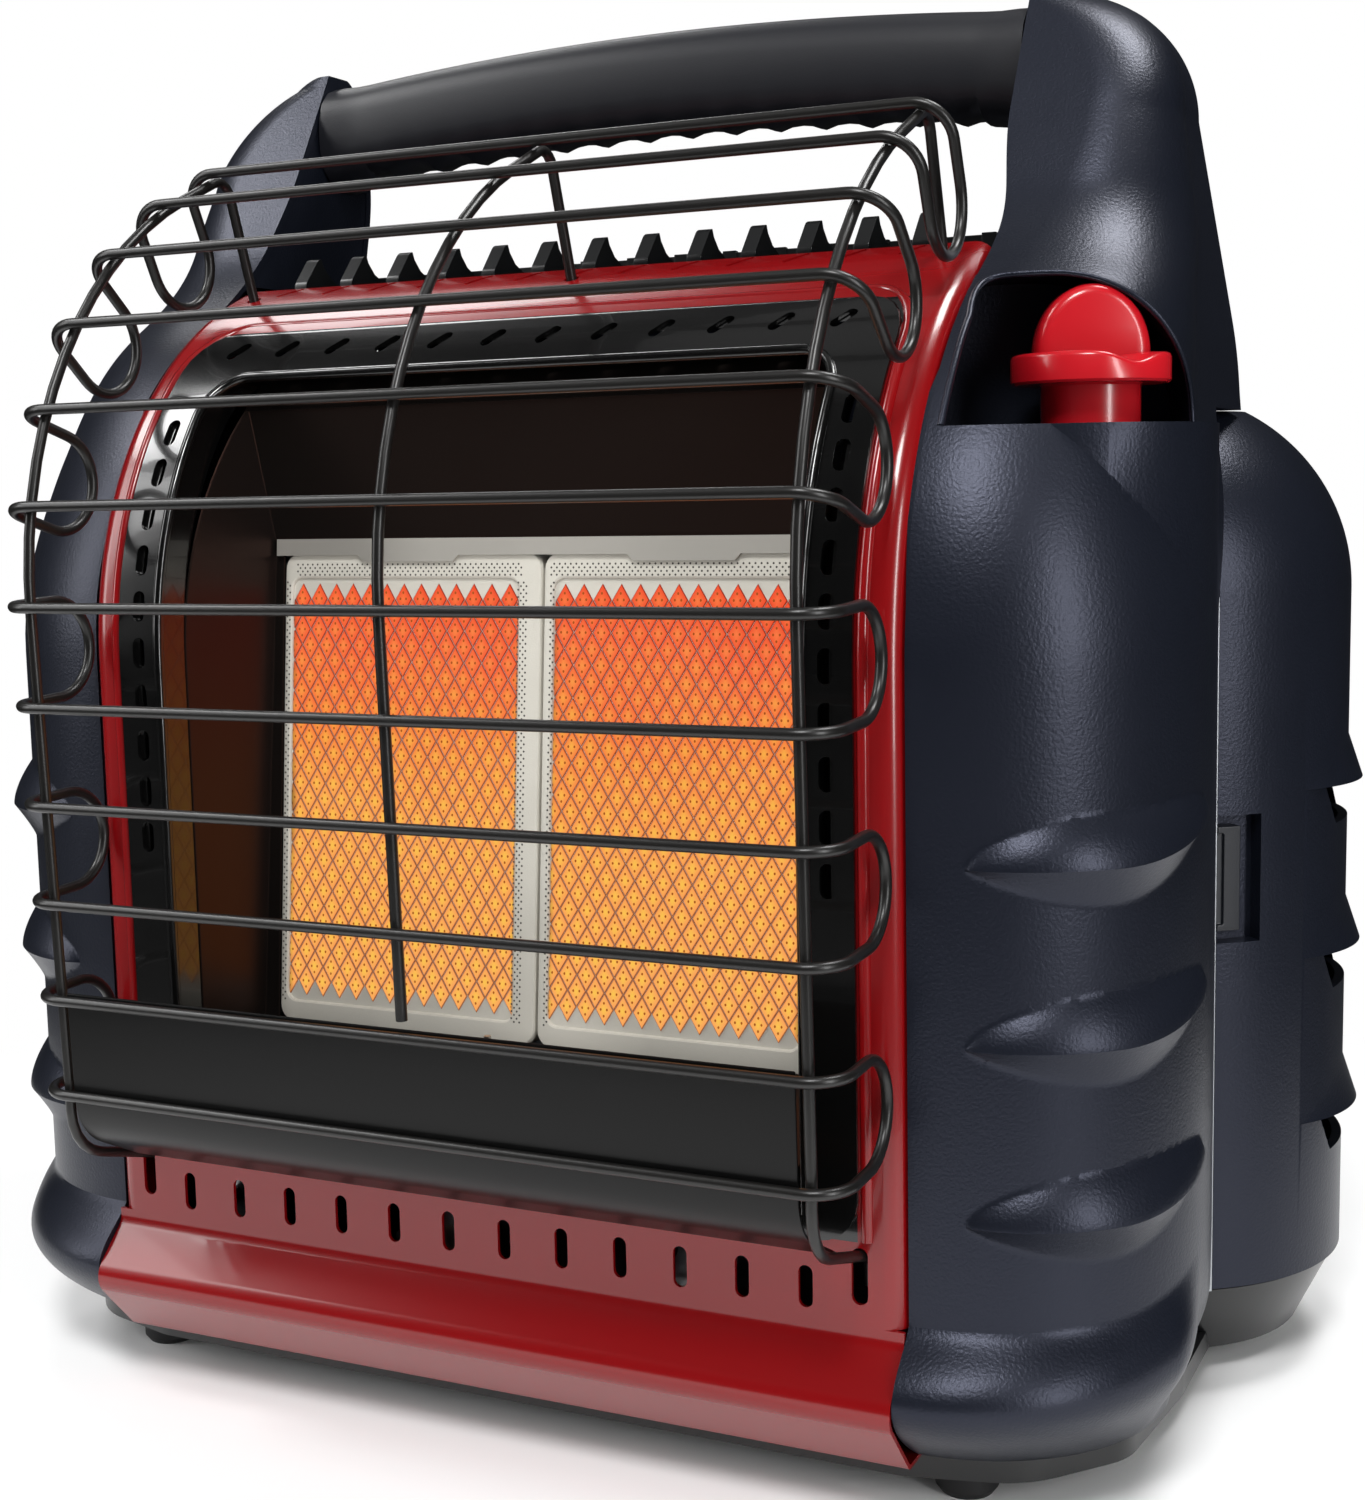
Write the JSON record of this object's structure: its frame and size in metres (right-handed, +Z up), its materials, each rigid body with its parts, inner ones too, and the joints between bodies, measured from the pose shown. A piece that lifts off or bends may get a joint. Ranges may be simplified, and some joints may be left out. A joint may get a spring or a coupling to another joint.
{
  "type": "portable propane heater",
  "caption": "Portable radiant gas heater with curved wire guard, ceramic burner tiles, carry handle, control knob and cylinder bays with hinged doors on both sides.",
  "frame": {"origin": "middle of the overall box, on the floor under the feet", "axes": "X to the right as seen from the front, Y to the back, Z up"},
  "size_m": [0.4486, 0.2896, 0.4317],
  "materials": {
    "red_enamel": "gloss enamel on sheet steel",
    "black_enamel": "gloss black enamel",
    "grille_black": "satin black",
    "casing_plastic": "fine grained moulded plastic, dark navy",
    "latch_plastic": "dark grey moulded plastic",
    "knob_red": "red moulded plastic",
    "grip_rubber": "charcoal ribbed grip",
    "foot_rubber": "black rubber",
    "wire_steel": "dark coated wire",
    "plate_steel": "black enamel plate",
    "tile_ceramic": "porous tile, hot in use",
    "bright_steel": "bright sheet steel",
    "galvanised": "zinc coated sheet",
    "steel_bar": "steel",
    "copper_tube": "soft copper tube",
    "brass": "machined brass",
    "zinc_casting": "die cast",
    "ceramic_white": "glazed insulator",
    "inner_plastic": "black moulded plastic",
    "fan_plastic": "dark grey moulded plastic",
    "contact_steel": "nickel plated spring steel"
  },
  "bodies": {
    "casing": {"front_panel": "red_enamel", "bezel": "black_enamel", "reflector_box": "black_enamel", "tile_left": "tile_ceramic", "tile_right": "tile_ceramic", "tile_retainer": "bright_steel", "plenum_left": "galvanised", "plenum_right": "galvanised", "venturi_left": "galvanised", "venturi_right": "galvanised", "orifice_jets": "brass", "gas_manifold": "copper_tube", "supply_tube": "copper_tube", "pilot_burner": "bright_steel", "pilot_tube": "copper_tube", "spark_electrode": "ceramic_white", "thermocouple": "bright_steel", "gas_valve": "brass", "spark_igniter": "inner_plastic", "side_panel_left": "casing_plastic", "side_panel_right": "casing_plastic", "bay_liner_left": "galvanised", "bay_liner_right": "galvanised", "hinge_pins": "steel_bar", "swivel_mounts": "galvanised", "back_panel": "grille_black", "rear_cover": "casing_plastic", "fan_guard": "inner_plastic", "fan_motor": "galvanised", "battery_box": "inner_plastic", "battery_contacts": "contact_steel", "switch_frame": "inner_plastic", "power_socket": "inner_plastic", "top_grille": "grille_black", "handle_grip": "grip_rubber", "handle_bar": "steel_bar", "guard_wires": "wire_steel", "guard_uprights": "wire_steel", "guard_plate": "plate_steel", "base_pan": "grille_black", "feet": "foot_rubber", "tip_switch": "galvanised", "heat_shield": "galvanised", "screws": "steel_bar"},
    "stem": {"valve_stem": "steel_bar"},
    "knob": {"control_knob": "knob_red", "knob_spring": "contact_steel"},
    "door_l": {"door_left": "casing_plastic"},
    "door_r": {"door_right": "casing_plastic"},
    "latch_l": {"door_latch_left": "latch_plastic"},
    "latch_r": {"door_latch_right": "latch_plastic"},
    "regulator_l": {"regulator_left": "zinc_casting"},
    "regulator_r": {"regulator_right": "zinc_casting"},
    "rotor": {"fan_rotor": "fan_plastic"},
    "lid": {"battery_door": "inner_plastic"},
    "rocker": {"switch_rocker": "fan_plastic"},
    "pendulum": {"tip_pendulum": "steel_bar"}
  },
  "joints": [
    {"name": "valve_turn", "type": "hinge", "parent": "casing", "child": "stem", "pos_m": [0.163, -0.02623, 0.29], "axis": [0, 0, 1], "range_deg": [0, 270]},
    {"name": "knob_push", "type": "slide", "parent": "stem", "child": "knob", "axis": [0, 0, -1], "range_m": [0, 0.003], "stiffness_N_per_m": 600, "springref_m": -0.001, "deforming": ["knob_spring"]},
    {"name": "door_right_swing", "type": "hinge", "parent": "casing", "child": "door_r", "pos_m": [0.12171, 0.12925, 0.15], "axis": [0, 0, 1], "range_deg": [0, 110]},
    {"name": "door_left_swing", "type": "hinge", "parent": "casing", "child": "door_l", "pos_m": [-0.12171, 0.12925, 0.15], "axis": [0, 0, -1], "range_deg": [0, 110]},
    {"name": "latch_right_slide", "type": "slide", "parent": "door_r", "child": "latch_r", "axis": [0.7815, 0.6239, 0], "range_m": [0, 0.0058]},
    {"name": "latch_left_slide", "type": "slide", "parent": "door_l", "child": "latch_l", "axis": [-0.7815, 0.6239, 0], "range_m": [0, 0.0058]},
    {"name": "regulator_right_tilt", "type": "hinge", "parent": "casing", "child": "regulator_r", "pos_m": [0.157, 0.07277, 0.276], "axis": [0, -1, 0], "range_deg": [0, 40]},
    {"name": "regulator_left_tilt", "type": "hinge", "parent": "casing", "child": "regulator_l", "pos_m": [-0.157, 0.07277, 0.276], "axis": [0, 1, 0], "range_deg": [0, 40]},
    {"name": "fan_spin", "type": "hinge", "parent": "casing", "child": "rotor", "pos_m": [0, 0.08977, 0.2], "axis": [0, 1, 0], "continuous": true},
    {"name": "battery_lid", "type": "hinge", "parent": "casing", "child": "lid", "pos_m": [0, 0.14317, 0.0236], "axis": [-1, 0, 0], "range_deg": [0, 100]},
    {"name": "fan_switch", "type": "hinge", "parent": "casing", "child": "rocker", "pos_m": [0.086, 0.12227, 0.06], "axis": [-1, 0, 0], "range_deg": [0, 18]},
    {"name": "tip_swing", "type": "hinge", "parent": "casing", "child": "pendulum", "pos_m": [-0.05, 0.03477, 0.074], "axis": [0, 1, 0], "range_deg": [-22, 22]}
  ]
}
